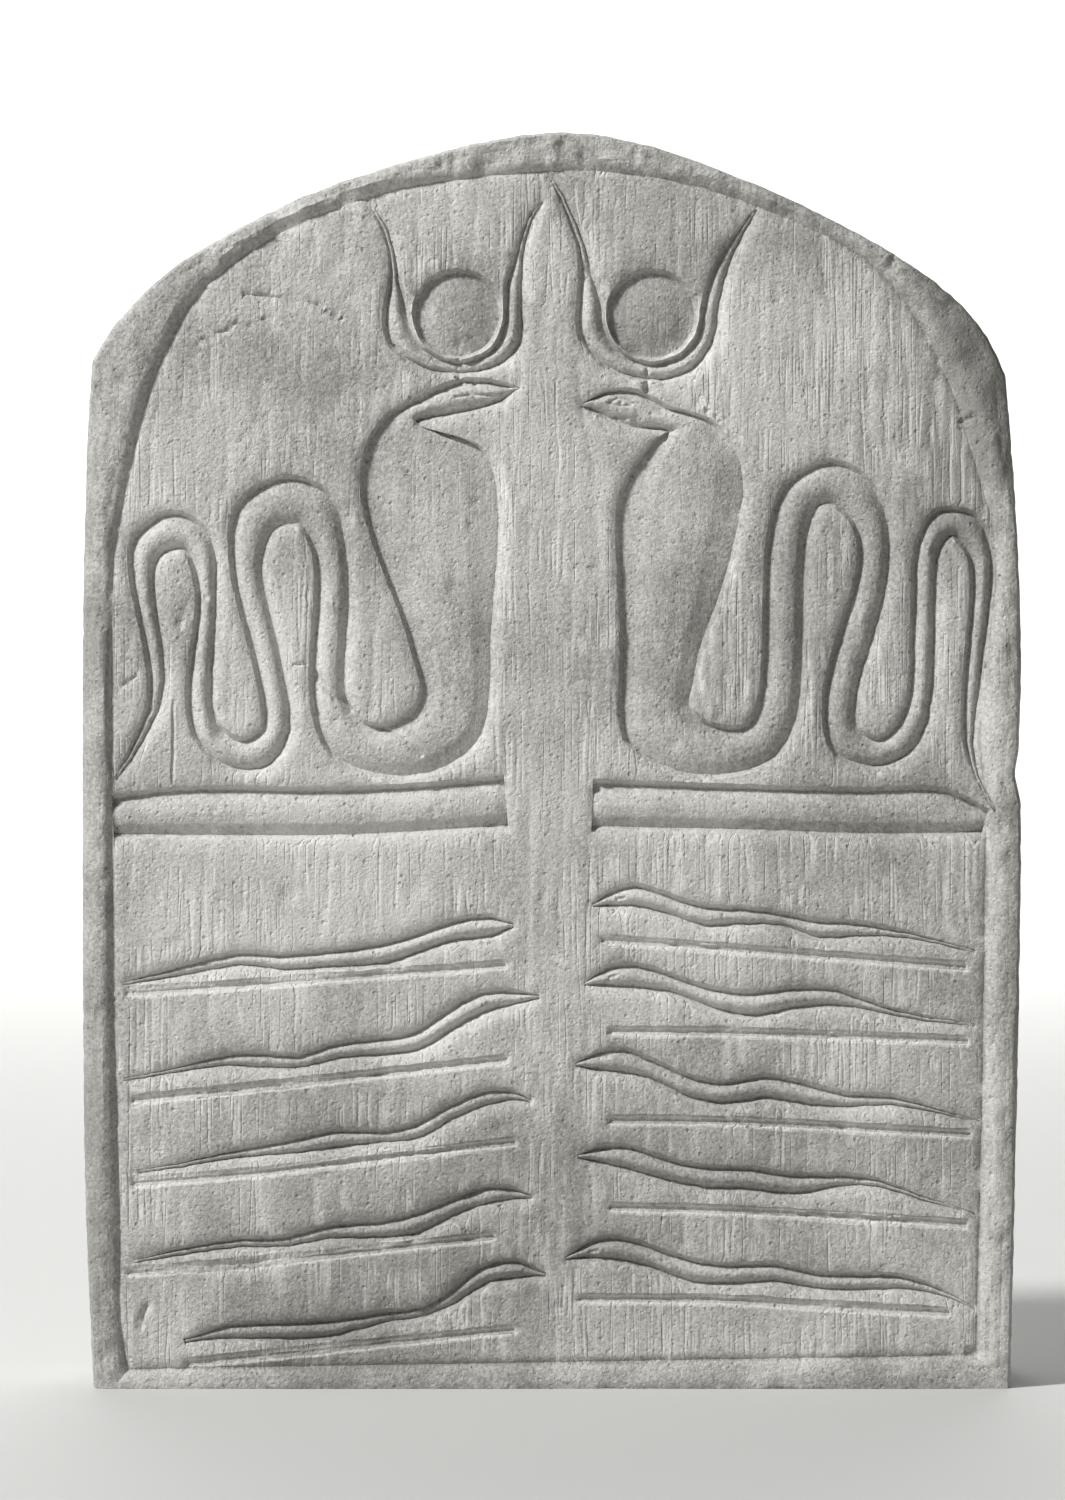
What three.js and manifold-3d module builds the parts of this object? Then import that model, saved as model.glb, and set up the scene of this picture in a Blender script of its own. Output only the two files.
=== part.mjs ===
// A small round-topped limestone stele, carved on its front in sunk relief: two raised cobras,
// each crowned with a sun disk between horns, stand on a bar, and ten low snakes lie in two
// columns of five below them.
//
// Units are millimetres. X runs to the viewer's right, Z is up and the carved face looks along -Y.
// The origin is the middle of the underside.

import * as THREE from 'three';
import { mergeVertices } from 'three/addons/utils/BufferGeometryUtils.js';
import Module from 'manifold-3d';

const wasm = await Module();
wasm.setup();

// ---- Driving dimensions ----

const WIDTH = 202;
const THICKNESS = 46;
const HEIGHT = 270;
const EDGE_ROUND = 2.6; // rounding of the slab's front and back edges
const EDGE_ROUND_STEPS = 2;
const CURVE_STEPS = 2; // straight pieces in each span of an outline's curve
const RIM_RISE = 1.8; // the rim stands this far in front of the field
const RIM_SLOPE = 2.6; // width of the slope between the rim and the field
const CUT_DEPTH = 1.8; // depth of a figure's outline below the field
const WALL_RUN = 1.1; // width of the sloping wall just inside that outline
const WIDEST_WALL_SHARE = 0.3; // and at most this share of a narrow body's width
const CROWN_SHARE = 0.75; // a body's middle swells back up by this share of that depth
const STEEPEST_SWELL = 0.35; // and by no more than this share of its bed's width
const FULL_DEPTH_WIDTH = 4; // a body narrower than this is cut shallower
const BED_STEPS = 4; // facets across a body
const LONGEST_STEP = 7; // and the longest facet along it
const SHARPEST_STEP = 0.3; // with no more bend than this from one to the next, in radians
const GROOVE_DEPTH = 0.8;
const GROOVE_WIDTH = 1.4;
const DISK_SIDES = 24;
const OVERCUT = 6; // the cutting shapes start this far in front of the field
const SAME_CORNER = 1e-4; // corners nearer than this are one corner
const SMALLEST_DETAIL = 0.03; // slivers thinner than this, left where cuts meet, are merged away

const RIM_Y = -THICKNESS / 2;
const FIELD_Y = RIM_Y + RIM_RISE;

// ---- Outlines, as waypoints [x, z] that smooth curves run through ----

const LEFT_SIDE = [[-98, -8], [-100.3, 40], [-101, 90], [-101, 160], [-100, 202], [-98.6, 221]];
const ROUND_TOP = [
  [-98.6, 221], [-93.5, 229], [-83, 239.5], [-70, 247.7], [-50, 257.5], [-20, 266.7], [2, 270],
  [17.5, 267.8], [30, 264.1], [50, 256.1], [70, 245.9], [85, 235.9], [93.4, 227], [97.9, 217.6],
];
const RIGHT_SIDE = [
  [97.9, 217.6], [99.6, 193], [101, 160], [100.4, 138], [99.6, 131], [101, 121], [100, 60], [98.4, -8],
];
const FIELD_BORDER = [
  [-91, 4], [-92.8, 16], [-92.8, 36], [-94.3, 90], [-94.4, 170], [-93, 186], [-87.7, 211],
  [-82, 224.7], [-76.3, 234.7], [-66.7, 243], [-54, 250.5], [-38, 256.3], [-22, 259.6], [2, 261.7],
  [16, 261], [30, 258.6], [44, 254], [60, 247], [70, 240.3], [77, 232], [84.5, 218.3],
  [88.4, 208], [91.5, 197], [94.7, 186], [95, 175], [93.4, 156], [91.9, 140], [93.3, 124],
  [92.9, 84], [92.3, 50], [91.3, 7],
];

// ---- Figures ----
// A body is a list of [x, z, half width] along its middle, from the tail to the head. A head is a
// list of [back x, back z, front x, front z], across the hood and the head up to the lips.

const LEFT_COBRA = {
  facesRight: true,
  body: [
    [-93.8, 130.8, 0.3], [-90.8, 135, 1.2], [-87.7, 141, 1.7], [-85.4, 146.4, 2.1], [-84.6, 152, 2.4],
    [-85.9, 162.5, 2.7], [-87.8, 173.5, 3.1], [-86.9, 180.6, 4.3], [-81.3, 184.1, 4.9],
    [-75.8, 181.2, 3.9], [-74, 171, 2.8], [-74.7, 160, 3], [-75.5, 150, 3.4], [-74.4, 141.8, 3.6],
    [-69, 136.5, 4], [-62.6, 136.8, 4.5], [-59, 142, 3.7], [-59.5, 149.5, 3.6], [-62.3, 162.5, 3.7],
    [-65.4, 176.5, 4], [-63.6, 186.8, 5.6], [-57, 190.6, 5.9], [-50.8, 188.6, 5.4], [-47.4, 180, 4.2],
    [-46.9, 170, 4.3], [-47.8, 158, 4.35], [-47.5, 147, 4.5], [-44, 139.8, 5.6], [-37.5, 137, 5.9],
    [-28.5, 138.2, 7.4], [-21.8, 143.4, 8.5], [-20.3, 151, 8.1], [-21.2, 159.5, 9.2],
  ],
  head: [
    [-32.6, 166, -11.7, 166], [-36.2, 175, -11, 175], [-39.4, 184, -10.4, 184], [-41.2, 192, -10.6, 192],
    [-41, 199, -12.2, 199], [-39.5, 204.2, -15.6, 202.8], [-37, 208, -21, 204.8],
    [-34.8, 210, -25.6, 205.9], [-32.6, 211.4, -28.3, 207], [-29.4, 213, -25.2, 208],
    [-25, 215.4, -20, 208.9], [-19.5, 217.3, -14.9, 209.9], [-13.5, 217, -10.8, 211.2],
    [-9.4, 216, -8.2, 213.2], [-7, 215.2, -7, 214.8],
  ],
};
const RIGHT_COBRA = {
  facesRight: false,
  body: [
    [95.3, 123.8, 0.3], [91.8, 130.8, 0.8], [89.9, 138.5, 1.7], [90.2, 147, 2.3], [91.2, 158, 2.6],
    [92.4, 169, 2.8], [92.5, 178.5, 3.1], [89.4, 184.9, 4], [84.4, 185.8, 3.9], [81, 180.3, 3.4],
    [80.3, 171, 3.1], [80, 160, 3.3], [79.4, 148.5, 3.2], [76.6, 140.2, 3.9], [70.2, 136.5, 3.8],
    [63.8, 138.8, 4.4], [62, 145.5, 4.2], [63.6, 155, 4.3], [66.7, 165, 4.4], [69.2, 175, 4.1],
    [69.4, 184, 4.2], [66.2, 191, 5], [60, 194.6, 5.4], [54, 191.8, 5], [51, 183, 4.9],
    [50.3, 171, 5], [50, 157, 4.9], [48.6, 145, 5.2], [45, 139, 5.4], [38.2, 136.8, 5.7],
    [29.5, 138, 6.9], [22.8, 143.2, 8.6], [22.8, 151, 8.5], [23.7, 159.5, 9.2],
  ],
  head: [
    [35.9, 167, 14.3, 167], [38.9, 176, 13.9, 176], [41, 185, 13.6, 185], [42.4, 193, 14.6, 193],
    [42, 198, 16.8, 197.3], [40, 202.6, 19.2, 200.6], [37, 206, 21.9, 203.8],
    [34.2, 208.4, 24.2, 205.4], [30, 210, 20.6, 205.8], [25.4, 211, 16.6, 206.3],
    [20.4, 214.2, 12.8, 207.4], [15.6, 215.2, 10.2, 208.5], [10.8, 214.2, 8, 209.7],
    [6.3, 211.4, 6.1, 210.9],
  ],
};

// A horn pair is one U-shaped body that passes under the disk, from the left tip to the right tip.
const LEFT_CROWN = {
  disk: { x: -20.2, z: 230.8, radius: 10 },
  horns: [
    [-39, 254.5, 0.3], [-35.8, 249.5, 1.1], [-34.1, 243.5, 1.1], [-33.7, 238, 1.6], [-33.5, 232, 3],
    [-32.6, 226.5, 3.5], [-28.7, 221.8, 2.8], [-20.2, 219.3, 2], [-12, 221.5, 2.6], [-8.5, 226, 3.1],
    [-8, 232, 2.6], [-7.9, 237.5, 2.4], [-7, 242.5, 1.6], [-6, 247, 1.15], [-4.5, 251.5, 0.9],
    [-2, 255, 0.3],
  ],
  stem: [[-20.1, 221.5], [-20.6, 217]],
};
const RIGHT_CROWN = {
  disk: { x: 21.6, z: 230.6, radius: 10.2 },
  horns: [
    [-0.8, 261.4, 0.3], [2.3, 256, 1], [5, 250, 1.15], [6.7, 245, 1.4], [7.6, 239.5, 2],
    [8.3, 233, 3.2], [8.8, 227, 3.5], [12.4, 221.8, 3], [20.8, 218.4, 2.6], [29, 220.4, 2.8],
    [33.2, 225.5, 2.6], [34.3, 232, 2.5], [36, 239, 2.3], [39, 245.6, 1.8], [42.3, 250.8, 0.9],
    [44, 253.3, 0.3],
  ],
  stem: [[20.9, 219.5], [20.9, 214]],
};

const BARS = [
  [[-94.3, 122.8, 4.7], [-80, 123.6, 5.8], [-44, 123.6, 5.7], [-20, 125, 5.8], [-9.8, 125.8, 6]],
  [[8.7, 125.3, 5.7], [38.6, 124.5, 5.4], [66, 123.7, 5.5], [84.4, 123.7, 5.5], [93.2, 121.6, 3]],
];

const SNAKES = [
  [
    [-92.2, 86.8, 0.5], [-79.5, 89.5, 1.9], [-67, 92.1, 2.2], [-58, 91.3, 2.5], [-48, 92.1, 2.6],
    [-37, 93, 3], [-29, 95.4, 2.8], [-21, 98.1, 2.9], [-13, 99.1, 3], [-8.2, 99.4, 0.8],
  ],
  [
    [-92, 66.2, 0.5], [-79, 68.6, 1.2], [-70, 70.3, 2.1], [-61.5, 70.2, 2.3], [-54, 70, 2.2],
    [-46, 72.3, 2.5], [-36, 73.3, 2.7], [-29, 74.4, 2.8], [-22, 78.8, 2.9], [-14.5, 82.9, 3],
    [-8, 83.7, 2.3], [-2.6, 84, 0.6],
  ],
  [
    [-90, 46.3, 0.5], [-79, 48, 1], [-67, 50.3, 1.7], [-55, 51.8, 2.4], [-46, 53.4, 2.7],
    [-36, 53.9, 2.1], [-29, 55, 2.5], [-22, 58.9, 2.4], [-14, 62.2, 2.4], [-8.5, 62.7, 1.9],
    [-4.3, 61.6, 0.5],
  ],
  [
    [-90, 27, 0.5], [-79.5, 29.2, 1.4], [-67, 31, 1.7], [-58, 31.1, 1.9], [-48, 33.3, 2.3],
    [-38, 33.8, 2.6], [-30, 34.9, 3], [-22, 38.3, 2.6], [-14, 41.2, 2.6], [-8.5, 41.5, 2.1],
    [-4.2, 41, 0.5],
  ],
  [
    [-79, 10, 0.8], [-70, 11.9, 2.3], [-58, 12.1, 2.6], [-47, 12.7, 2.6], [-36, 15, 2],
    [-27.5, 16.2, 1.9], [-21, 19.4, 2.3], [-14, 24.4, 2.7], [-7, 25.2, 2.7], [-1.3, 24.2, 0.6],
  ],
  [
    [91, 93.8, 0.5], [77, 97.1, 1.2], [66, 98.4, 2.3], [57, 98.5, 2.7], [50, 100.5, 2.1],
    [41, 101.3, 2.6], [33, 101.2, 2.9], [25, 103.7, 2.7], [18, 105.7, 3.1], [13, 105, 2.4],
    [8.8, 103.6, 0.6],
  ],
  [
    [91, 78, 0.4], [80, 79.3, 1], [70.5, 81.3, 1.5], [61, 83.9, 2.6], [52, 83.7, 3], [43, 82.3, 3.4],
    [34, 83.8, 2.8], [26, 86.6, 2.6], [18, 88.4, 3.3], [12, 88.2, 2.8], [7.1, 86.8, 0.6],
  ],
  [
    [92, 57.2, 0.3], [84, 59.1, 0.8], [73, 61.6, 1.8], [63, 61.6, 2.3], [55, 62.9, 3],
    [46, 64.6, 3.2], [37, 63.2, 3.1], [29.5, 64.5, 3], [22, 68, 2.7], [15, 70.2, 3.4],
    [10, 70.1, 2.7], [5.1, 69.4, 0.6],
  ],
  [
    [91, 37.5, 0.3], [80, 40.6, 0.8], [70, 43.9, 1.4], [62, 44.4, 2.1], [52, 43.5, 2.9],
    [42, 44.9, 3.1], [33, 45.1, 3.1], [24, 46.9, 3], [16, 49.4, 3.2], [10, 49.9, 2.5],
    [5.6, 49.7, 0.6],
  ],
  [
    [91, 17, 0.3], [84, 20.2, 1.2], [75, 22.5, 2.3], [65, 22.5, 2.5], [56, 22.9, 2.5],
    [48, 24.6, 2.7], [39, 24.2, 2.9], [30, 24.9, 3.1], [22, 27.7, 2.9], [14, 29.8, 3.3],
    [8, 29.4, 2.5], [3, 27.8, 0.6],
  ],
];

const BASE_LINES = [
  [[-91.3, 84.8], [-61.7, 86.8], [-35.4, 88.9], [-9.8, 90.7]],
  [[-90, 61.7], [-61.7, 64.3], [-40, 67], [-9.5, 70.5]],
  [[-90, 43.9], [-61.7, 46.2], [-42, 49.2], [-8, 52.7]],
  [[-91, 24.6], [-67, 26], [-42, 29], [-12.5, 32.4]],
  [[-78.5, 5.2], [-55, 7.3], [-28.9, 10.2], [-8, 12.4]],
  [[11, 96.2], [31.7, 95], [52.3, 93.2], [89, 90.3]],
  [[12.5, 76.6], [40, 76.2], [66, 75.5], [89.5, 74.5]],
  [[12.5, 57.4], [38.6, 57.1], [66, 55.8], [90, 54.4]],
  [[12.4, 38.7], [38.6, 38], [66, 36.8], [89.2, 35]],
  [[6, 19], [36, 18.8], [59, 17.2], [85.5, 16]],
];

// ---- Geometry helpers ----

// A closed geometry becomes a solid once its corners are shared and its empty triangles dropped.
function toSolid(geometry) {
  const bare = geometry.clone();
  bare.deleteAttribute('normal');
  bare.deleteAttribute('uv');
  const merged = mergeVertices(bare, SAME_CORNER);
  const corners = Array.from(merged.index.array);
  const triVerts = [];
  for (let i = 0; i < corners.length; i += 3) {
    const triangle = corners.slice(i, i + 3);
    if (new Set(triangle).size === 3) {
      triVerts.push(...triangle);
    }
  }
  return new wasm.Manifold(new wasm.Mesh({
    numProp: 3,
    vertProperties: new Float32Array(merged.attributes.position.array),
    triVerts: new Uint32Array(triVerts),
  }));
}

function toGeometry(solid) {
  const mesh = solid.getMesh();
  const geometry = new THREE.BufferGeometry();
  geometry.setAttribute('position', new THREE.BufferAttribute(mesh.vertProperties, 3));
  geometry.setIndex(new THREE.BufferAttribute(mesh.triVerts, 1));
  geometry.computeVertexNormals();
  return geometry;
}

// Reads smooth curves through two edges side by side, more often where they bend.
function readTogether(edges) {
  const curves = edges.map((edge) => {
    const corners = edge.map(([x, z]) => new THREE.Vector3(x, 0, z));
    return new THREE.CatmullRomCurve3(corners, false, 'centripetal');
  });
  const spans = edges[0].length - 1;
  const places = [0];
  for (let span = 0; span < spans; span += 1) {
    const from = span / spans;
    const to = (span + 1) / spans;
    const bends = curves.map((curve) => curve.getTangent(from).angleTo(curve.getTangent(to)));
    const reaches = curves.map((curve) => curve.getPoint(from).distanceTo(curve.getPoint(to)));
    const forBend = Math.max(...bends) / SHARPEST_STEP;
    const forReach = Math.max(...reaches) / LONGEST_STEP;
    const steps = Math.ceil(Math.max(forBend, forReach));
    for (let step = 1; step <= steps; step += 1) {
      places.push((span + step / steps) / spans);
    }
  }
  return curves.map((curve) => places.map((place) => curve.getPoint(place)));
}

// The two edges of a body, half a width to each side of every waypoint of its middle line.
function edgesOf(middle) {
  const side = (sign) => middle.map(([x, z, half], i) => {
    const before = middle[Math.max(i - 1, 0)];
    const after = middle[Math.min(i + 1, middle.length - 1)];
    const along = new THREE.Vector2(after[0] - before[0], after[1] - before[1]).normalize();
    return [x - sign * along.y * half, z + sign * along.x * half];
  });
  return [side(1), side(-1)];
}

// The section of a figure's cut, as [share of the way across, depth below the field]: a wall,
// a bed that swells in the middle, and the wall on the far side. A thin tail is cut shallower.
function bodySection(width) {
  const wall = Math.min(WALL_RUN / width, WIDEST_WALL_SHARE);
  const depth = CUT_DEPTH * Math.min(1, width / FULL_DEPTH_WIDTH);
  const bed = 1 - 2 * wall;
  const rise = Math.min(CROWN_SHARE * depth, STEEPEST_SWELL * bed * width);
  const section = [[0, -OVERCUT], [0, 0]];
  for (let step = 0; step <= BED_STEPS; step += 1) {
    const share = step / BED_STEPS;
    const arch = Math.sqrt(Math.sin(Math.PI * share));
    section.push([wall + bed * share, depth - rise * arch]);
  }
  return [...section, [1, 0], [1, -OVERCUT]];
}

function grooveSection() {
  return [[0, -OVERCUT], [0, 0], [0.5, GROOVE_DEPTH], [1, 0], [1, -OVERCUT]];
}

// A cutting solid lofted between two edges. Its sections stand across the stone's face.
function loft(edges, sectionOf) {
  const [starts, ends] = readTogether(edges);
  const sections = starts.map((start, i) => {
    const width = start.distanceTo(ends[i]);
    return sectionOf(width).map(([across, depth]) => {
      const corner = start.clone().lerp(ends[i], across);
      corner.y = FIELD_Y + depth;
      return corner;
    });
  });
  const size = sections[0].length;
  const index = [];
  for (let i = 0; i + 1 < sections.length; i += 1) {
    for (let k = 0; k < size; k += 1) {
      const here = i * size + k;
      const next = i * size + (k + 1) % size;
      index.push(here, next + size, next, here, here + size, next + size);
    }
  }
  const outline = sectionOf(1).map(([across, depth]) => new THREE.Vector2(across, depth));
  const last = (sections.length - 1) * size;
  for (const [a, b, c] of THREE.ShapeUtils.triangulateShape(outline, [])) {
    index.push(a, c, b, last + a, last + b, last + c);
  }
  const geometry = new THREE.BufferGeometry().setFromPoints(sections.flat());
  geometry.setIndex(index);
  return toSolid(geometry);
}

// ---- The slab, its field and its figures ----

function shapeThrough(...stretches) {
  const shape = new THREE.Shape();
  shape.moveTo(...stretches[0][0]);
  for (const stretch of stretches) {
    shape.splineThru(stretch.slice(1).map(([x, z]) => new THREE.Vector2(x, z)));
  }
  return shape;
}

// The slab's outline with rounded edges, trimmed to the block that it was cut from.
function slab() {
  const outline = new THREE.ExtrudeGeometry(shapeThrough(LEFT_SIDE, ROUND_TOP, RIGHT_SIDE), {
    curveSegments: CURVE_STEPS,
    depth: THICKNESS - 2 * EDGE_ROUND,
    bevelThickness: EDGE_ROUND,
    bevelSize: EDGE_ROUND,
    bevelOffset: -EDGE_ROUND,
    bevelSegments: EDGE_ROUND_STEPS,
  });
  outline.rotateX(Math.PI / 2);
  outline.translate(0, THICKNESS / 2 - EDGE_ROUND, 0);
  const block = new THREE.BoxGeometry(WIDTH, THICKNESS, HEIGHT);
  block.translate(0, 0, HEIGHT / 2);
  return toSolid(outline).intersect(toSolid(block));
}

// The cut that sinks the field and leaves the rim standing round it, with a sloping inner side.
function fieldCut() {
  const cut = new THREE.ExtrudeGeometry(shapeThrough(FIELD_BORDER), {
    curveSegments: CURVE_STEPS,
    depth: OVERCUT,
    bevelThickness: RIM_RISE,
    bevelSize: RIM_SLOPE,
    bevelSegments: 1,
  });
  cut.rotateX(Math.PI / 2);
  cut.translate(0, RIM_Y, 0);
  return toSolid(cut);
}

// A sun disk is cut like a body that turns round its own middle.
function diskCut({ x, z, radius }) {
  const half = bodySection(2 * radius).map(([across, depth]) => [radius * (1 - 2 * across), depth]);
  const profile = half.filter(([out]) => out > -SAME_CORNER).map(([out, depth]) => new THREE.Vector2(out, depth));
  profile.unshift(new THREE.Vector2(0, -OVERCUT));
  const cut = new THREE.LatheGeometry(profile, DISK_SIDES);
  cut.translate(x, FIELD_Y, z);
  return toSolid(cut);
}

function grooveCut(line) {
  return loft(edgesOf(line.map(([x, z]) => [x, z, GROOVE_WIDTH / 2])), grooveSection);
}

// A cobra's body runs up to its hood, where the head's own two edges take over.
function cobraCut({ body, head, facesRight }) {
  const nape = head.map(([x, z]) => [x, z]);
  const throat = head.map(([, , x, z]) => [x, z]);
  const [left, right] = edgesOf(body);
  const upper = facesRight ? [nape, throat] : [throat, nape];
  return loft([[...left, ...upper[0]], [...right, ...upper[1]]], bodySection);
}

function crownCuts({ disk, horns, stem }) {
  return [loft(edgesOf(horns), bodySection), diskCut(disk), grooveCut(stem)];
}

function stele() {
  const cuts = [
    fieldCut(),
    cobraCut(LEFT_COBRA),
    cobraCut(RIGHT_COBRA),
    ...crownCuts(LEFT_CROWN),
    ...crownCuts(RIGHT_CROWN),
    ...BARS.map((bar) => loft(edgesOf(bar), bodySection)),
    ...SNAKES.map((snake) => loft(edgesOf(snake), bodySection)),
    ...BASE_LINES.map(grooveCut),
  ];
  const carved = cuts.reduce((stone, cut) => stone.subtract(cut), slab());
  // Counted as one surface, the cuts' thin leftover triangles can be merged into their neighbours.
  const cleaned = carved.asOriginal().simplify(SMALLEST_DETAIL);
  const limestone = new THREE.MeshStandardMaterial({ color: 0xbab6ae, roughness: 0.9, metalness: 0 });
  const mesh = new THREE.Mesh(toGeometry(cleaned), limestone);
  mesh.name = 'stele';
  return mesh;
}

const model = new THREE.Group();
model.add(stele());

export default model;
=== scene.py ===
# %% [markdown]
# # A carved limestone stele
# This lesson dresses a small round-topped stone slab. Its front is cut in sunk relief: the field
# is flat, each figure's outline is cut down into it, and the figure swells back up inside its own
# outline. Two crowned cobras face each other on bars, and ten low snakes lie below them.
# The measured model of the slab comes first. Every size below is read from it or is in millimetres.

# %% Load the measured model
import math
import random
import bmesh
import bpy
from mathutils import Matrix, Vector, kdtree, noise


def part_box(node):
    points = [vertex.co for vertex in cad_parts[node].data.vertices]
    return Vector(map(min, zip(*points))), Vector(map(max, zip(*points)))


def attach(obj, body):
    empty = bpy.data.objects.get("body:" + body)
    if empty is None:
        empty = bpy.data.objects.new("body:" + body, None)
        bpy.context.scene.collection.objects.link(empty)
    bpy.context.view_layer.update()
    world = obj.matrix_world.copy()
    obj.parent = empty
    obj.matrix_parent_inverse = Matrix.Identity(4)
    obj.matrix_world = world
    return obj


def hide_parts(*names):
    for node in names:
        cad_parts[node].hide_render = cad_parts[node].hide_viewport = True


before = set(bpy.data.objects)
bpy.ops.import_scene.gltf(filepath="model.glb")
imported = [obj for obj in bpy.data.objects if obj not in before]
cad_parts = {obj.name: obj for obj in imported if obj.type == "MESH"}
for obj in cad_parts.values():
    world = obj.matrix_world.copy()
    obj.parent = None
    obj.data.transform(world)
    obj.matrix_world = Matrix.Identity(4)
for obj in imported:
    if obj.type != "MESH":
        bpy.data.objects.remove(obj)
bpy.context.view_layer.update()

MM = 0.001
low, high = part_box("stele")
width, depth, height = high - low
random.seed(7)
print(f"slab: {width / MM:.0f} wide, {depth / MM:.0f} deep and {height / MM:.0f} mm tall")

# %% [markdown]
# ## The camera
# The slab is seen square on and level, from about a metre in front, with a long lens, so its sides
# stay hidden and its outline is true. The lens is worked out from how much height the view takes
# in at the slab's face.

# %% Camera
VIEW_HEIGHT = 321.75 * MM
VIEW_ACROSS = -4.1 * MM
VIEW_UP = 137.1 * MM
CAMERA_DISTANCE = 1100 * MM
camera_data = bpy.data.cameras.new("long_lens")
camera_data.lens = camera_data.sensor_width * CAMERA_DISTANCE / VIEW_HEIGHT
camera = bpy.data.objects.new("camera", camera_data)
camera.location = (VIEW_ACROSS, low.y - CAMERA_DISTANCE, VIEW_UP)
camera.rotation_euler = (math.pi / 2, 0, 0)
bpy.context.scene.collection.objects.link(camera)
bpy.context.scene.camera = camera
print(f"camera: {camera_data.lens:.0f} mm lens, {CAMERA_DISTANCE:.2f} m from the face")

# %% [markdown]
# ## A finer net over the carved face
# The measured solid has few, long triangles. Hand-cut stone needs a close net of small faces that
# can be nudged, but the crisp edges of the carving have to stay. So the face is not remeshed. A
# merged copy of it is cut by many upright and level planes, as an egg slicer would, and every edge
# of the carving stays an edge. The copy carries named layers of numbers at its corners, which the
# stone's finish reads later. The field is the level that takes up most of the face.

# %% Copy the carved face
FRONT_DEPTH = 8 * MM
SAME_PLACE = 0.001 * MM
SQUARE_ON = -0.9999


def faces_viewer(face):
    return face.normal.y < SQUARE_ON


net = bmesh.new()
net.from_mesh(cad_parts["stele"].data)
wear_and_highlight = net.verts.layers.float.new("wear_and_highlight")
hollow = net.verts.layers.float.new("hollow")
stain_and_painted_light = net.verts.layers.float.new("stain_and_painted_light")
coarse = net.verts.layers.float.new("coarse")
tooled = net.verts.layers.float.new("tooled")
scored = net.verts.layers.float.new("scored")
combed = net.verts.layers.float.new("combed")
bmesh.ops.remove_doubles(net, verts=net.verts, dist=SAME_PLACE)
behind = [face for face in net.faces if max(v.co.y for v in face.verts) > low.y + FRONT_DEPTH]
bmesh.ops.delete(net, geom=behind, context="FACES")

level_areas = {}
for face in filter(faces_viewer, net.faces):
    level = round(face.calc_center_median().y / MM, 2)
    level_areas[level] = level_areas.get(level, 0) + face.calc_area()
field_y = max(level_areas, key=level_areas.get) * MM
print(f"the field lies {(field_y - low.y) / MM:.1f} mm behind the rim")

# %% [markdown]
# The edges worth keeping are marked as sharp: those where a wall meets the flat field or the rim,
# and the valleys at the foot of each wall.

# %% Mark the crisp edges
VALLEY = math.radians(-25)
RIDGE = math.radians(45)
LEVEL_EDGE = math.radians(12)

for edge in net.edges:
    if edge.is_boundary:
        edge.smooth = False
        continue
    bend = edge.calc_face_angle_signed()
    beside_level = any(faces_viewer(face) for face in edge.link_faces)
    crisp_at_level = beside_level and abs(bend) > LEVEL_EDGE
    edge.smooth = not (bend < VALLEY or abs(bend) > RIDGE or crisp_at_level)
print(f"{sum(not edge.smooth for edge in net.edges)} crisp edges are kept")

# %% [markdown]
# ## Slicing
# Inside the flat field the triangles' own edges mean nothing, so they are dissolved first.

# %% Clear the level ground of its own edges
NO_BEND = 0.002
FLAT_ENOUGH = 0.005

inner = [edge for edge in net.edges if not edge.is_boundary and edge.calc_face_angle() < NO_BEND
         and all(faces_viewer(face) for face in edge.link_faces)]
bmesh.ops.dissolve_limit(net, angle_limit=FLAT_ENOUGH, verts=[], edges=inner)
print(f"{len(inner)} edges were inside level ground")

# %% [markdown]
# Then the planes cut. Over the cobras they stand closer together across the face than up it,
# because the tool marks there run up and down. Over the low snakes, which lie level, it is the
# reverse. A plane that passes very near a corner goes through the corner.

# %% Slice the face into small cells
SNAKES_TOP = 99 * MM
COBRA_CELL = (0.82 * MM, 1.55 * MM)
SNAKE_CELL = (1.15 * MM, 0.95 * MM)
NEAR = 0.2 * MM


def slice_along(mesh, geometry, axis, start, stop, step):
    """Cut the geometry by planes a step apart, and return it with everything the cuts added."""
    normal = Vector((0, 0, 0))
    normal[axis] = 1
    for cut in range(1, int((stop - start) / step)):
        place = normal * (start + cut * step)
        geometry = bmesh.ops.bisect_plane(mesh, geom=geometry, dist=NEAR,
                                          plane_co=place, plane_no=normal)["geom"]
    return geometry


def with_edges(faces):
    """The faces together with their own edges and corners, which is what a plane cuts."""
    edges = {edge for face in faces for edge in face.edges}
    corners = {vert for face in faces for vert in face.verts}
    return faces + list(edges) + list(corners)


def part_between(mesh, bottom, top):
    return with_edges([face for face in mesh.faces if bottom < face.calc_center_median().z < top])


bmesh.ops.bisect_plane(net, geom=net.verts[:] + net.edges[:] + net.faces[:], dist=NEAR,
                       plane_co=(0, 0, SNAKES_TOP), plane_no=(0, 0, 1))
for bottom, top, (cell_width, cell_height) in ((low.z, SNAKES_TOP, SNAKE_CELL),
                                               (SNAKES_TOP, high.z, COBRA_CELL)):
    part = part_between(net, bottom, top)
    part = slice_along(net, part, 0, low.x, high.x, cell_width)
    slice_along(net, part, 2, bottom, top, cell_height)
print(f"{len(net.faces)} small faces")

# %% [markdown]
# ## Base lines
# Each low snake lies above a long straight groove. Its line runs through the places below, in
# millimetres across from the middle and up from the base. The underside of each crown is a shallow
# V, whose two straight edges meet at the stem.

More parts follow.
